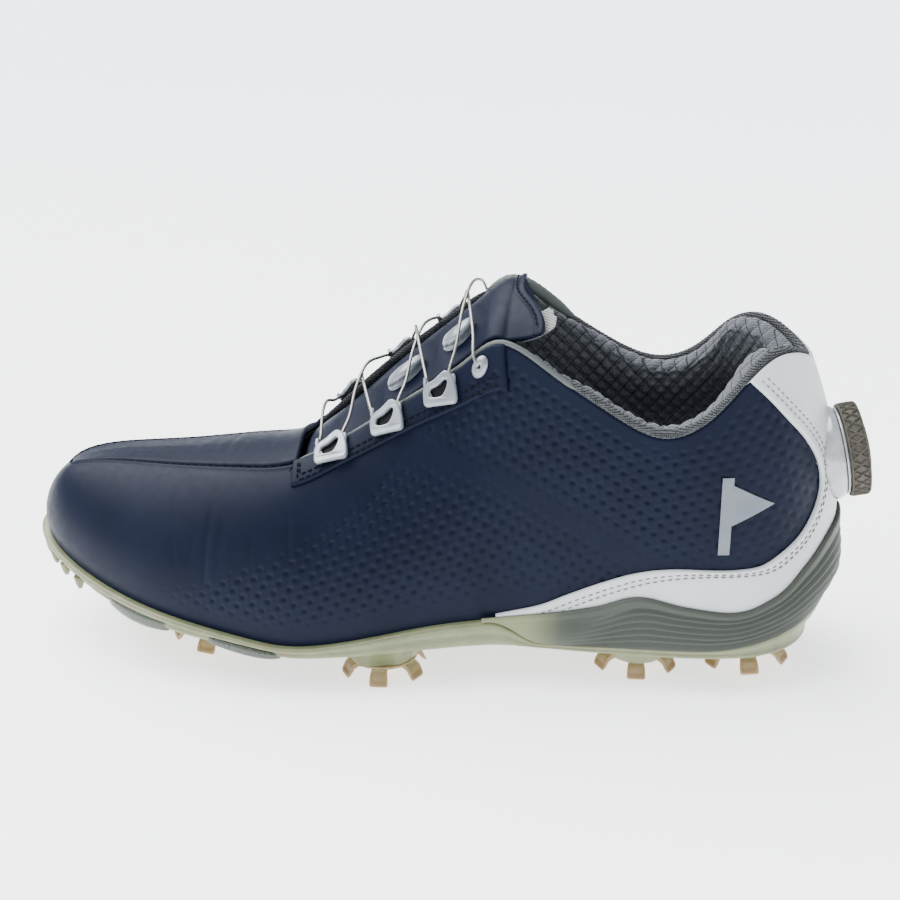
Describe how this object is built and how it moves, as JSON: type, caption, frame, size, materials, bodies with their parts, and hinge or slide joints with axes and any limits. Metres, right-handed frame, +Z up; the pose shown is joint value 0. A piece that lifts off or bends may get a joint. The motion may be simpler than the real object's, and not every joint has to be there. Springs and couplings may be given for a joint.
{
  "type": "golf shoe",
  "caption": "Left golf shoe with a moulded upper, white heel wrap, clear cleated outsole and a wire lace wound by a dial at the heel.",
  "frame": {"origin": "centre of the whole shoe's footprint, on the plane of the lowest cleat tips", "axes": "+X from toe to heel, +Y to the inner side of the left foot, +Z up"},
  "size_m": [0.3028, 0.1042, 0.1362],
  "materials": {
    "navy_leather": "smooth, semi-gloss, moulded dimples",
    "white_leather": "smooth, satin",
    "charcoal_textile": "textured and quilted",
    "grey_green_textile": "knitted",
    "midsole_foam": "satin moulded",
    "clear_outsole": "translucent, satin",
    "amber_plastic": "translucent, satin",
    "brushed_silver": "brushed",
    "steel_wire": "fine strands",
    "taupe_rubber": "matte, ridged",
    "clear_plastic": "silvery, glossy",
    "black_plastic": "matte",
    "fibre_board": "pressed fibre, matte"
  },
  "bodies": {
    "shoe": {"upper_shell": "navy_leather", "vamp_plug": "navy_leather", "eyestay_lateral": "navy_leather", "eyestay_medial": "navy_leather", "heel_foxing": "white_leather", "vamp_lining": "grey_green_textile", "collar_lining": "charcoal_textile", "collar_foam": "black_plastic", "toe_puff": "fibre_board", "heel_counter": "fibre_board", "collar_binding": "charcoal_textile", "tongue_gusset_lateral": "grey_green_textile", "tongue_gusset_medial": "grey_green_textile", "lace": "steel_wire", "lateral_guide_1": "brushed_silver", "lateral_guide_2": "brushed_silver", "lateral_guide_3": "brushed_silver", "lateral_eyelet": "brushed_silver", "lace_tube_lateral": "black_plastic", "medial_guide_1": "brushed_silver", "medial_guide_2": "brushed_silver", "medial_guide_3": "brushed_silver", "medial_eyelet": "brushed_silver", "lace_tube_medial": "black_plastic", "heel_badge": "brushed_silver", "insole_board": "fibre_board", "footbed": "charcoal_textile", "outsole": "clear_outsole", "midsole": "midsole_foam", "shank": "steel_wire", "socket_toe": "black_plastic", "socket_fore_lateral": "black_plastic", "socket_fore_medial": "black_plastic", "socket_ball_lateral": "black_plastic", "socket_ball_medial": "black_plastic", "socket_heel_front_lateral": "black_plastic", "socket_heel_front_medial": "black_plastic", "socket_heel_rear_lateral": "black_plastic", "socket_heel_rear_medial": "black_plastic", "dial_base": "clear_plastic", "dial_housing": "clear_plastic", "dial_screw": "steel_wire"},
    "tongue": {"tongue": "navy_leather", "tongue_tab": "grey_green_textile", "tongue_guide_lower": "brushed_silver", "tongue_guide_upper": "brushed_silver"},
    "dial_drive": {"dial_drive": "brushed_silver"},
    "dial_knob": {"dial_knob": "taupe_rubber", "dial_cap": "brushed_silver"},
    "dial_spool": {"dial_spool": "black_plastic"},
    "cleat_toe": {"cleat_toe": "amber_plastic"},
    "cleat_fore_lateral": {"cleat_fore_lateral": "amber_plastic"},
    "cleat_fore_medial": {"cleat_fore_medial": "amber_plastic"},
    "cleat_ball_lateral": {"cleat_ball_lateral": "amber_plastic"},
    "cleat_ball_medial": {"cleat_ball_medial": "amber_plastic"},
    "cleat_heel_front_lateral": {"cleat_heel_front_lateral": "amber_plastic"},
    "cleat_heel_front_medial": {"cleat_heel_front_medial": "amber_plastic"},
    "cleat_heel_rear_lateral": {"cleat_heel_rear_lateral": "amber_plastic"},
    "cleat_heel_rear_medial": {"cleat_heel_rear_medial": "amber_plastic"}
  },
  "joints": [
    {"name": "tongue_lift", "type": "hinge", "parent": "shoe", "child": "tongue", "pos_m": [-0.04083, -0.00123, 0.072], "axis": [0, -1, 0], "range_deg": [0, 20], "deforming": ["lace", "tongue_gusset_lateral", "tongue_gusset_medial"]},
    {"name": "dial_turn", "type": "hinge", "parent": "shoe", "child": "dial_drive", "pos_m": [0.13878, -0.00123, 0.0754], "axis": [0.9781, 0, 0.2079], "continuous": true},
    {"name": "dial_pull", "type": "slide", "parent": "dial_drive", "child": "dial_knob", "axis": [0.9781, 0, 0.2079], "range_m": [0, 0.0023]},
    {"name": "spool_turn", "type": "hinge", "parent": "shoe", "child": "dial_spool", "pos_m": [0.13878, -0.00123, 0.0754], "axis": [0.9781, 0, 0.2079], "continuous": true},
    {"name": "twist_toe", "type": "hinge", "parent": "shoe", "child": "cleat_toe", "pos_m": [-0.10683, 0.00777, 0.0115], "axis": [0.2419, 0, 0.9703], "range_deg": [0, 60]},
    {"name": "twist_fore_lateral", "type": "hinge", "parent": "shoe", "child": "cleat_fore_lateral", "pos_m": [-0.07982, -0.02023, 0.0042], "axis": [0.1564, 0, 0.9877], "range_deg": [0, 60]},
    {"name": "twist_fore_medial", "type": "hinge", "parent": "shoe", "child": "cleat_fore_medial", "pos_m": [-0.07982, 0.02577, 0.0042], "axis": [0.1564, 0, 0.9877], "range_deg": [0, 60]},
    {"name": "twist_ball_lateral", "type": "hinge", "parent": "shoe", "child": "cleat_ball_lateral", "pos_m": [-0.01582, -0.03073, 0], "axis": [0, 0, 1], "range_deg": [0, 60]},
    {"name": "twist_ball_medial", "type": "hinge", "parent": "shoe", "child": "cleat_ball_medial", "pos_m": [-0.02683, 0.02827, 0], "axis": [0, 0, 1], "range_deg": [0, 60]},
    {"name": "twist_heel_front_lateral", "type": "hinge", "parent": "shoe", "child": "cleat_heel_front_lateral", "pos_m": [0.07318, -0.01773, 0], "axis": [0, 0, 1], "range_deg": [0, 60]},
    {"name": "twist_heel_front_medial", "type": "hinge", "parent": "shoe", "child": "cleat_heel_front_medial", "pos_m": [0.07318, 0.01527, 0], "axis": [0, 0, 1], "range_deg": [0, 60]},
    {"name": "twist_heel_rear_lateral", "type": "hinge", "parent": "shoe", "child": "cleat_heel_rear_lateral", "pos_m": [0.11217, -0.01673, 0.0034], "axis": [-0.1219, 0, 0.9925], "range_deg": [0, 60]},
    {"name": "twist_heel_rear_medial", "type": "hinge", "parent": "shoe", "child": "cleat_heel_rear_medial", "pos_m": [0.11217, 0.01427, 0.0034], "axis": [-0.1219, 0, 0.9925], "range_deg": [0, 60]}
  ],
  "couplings": [
    {"joint": "spool_turn", "follows": "dial_turn", "ratio": 1}
  ]
}
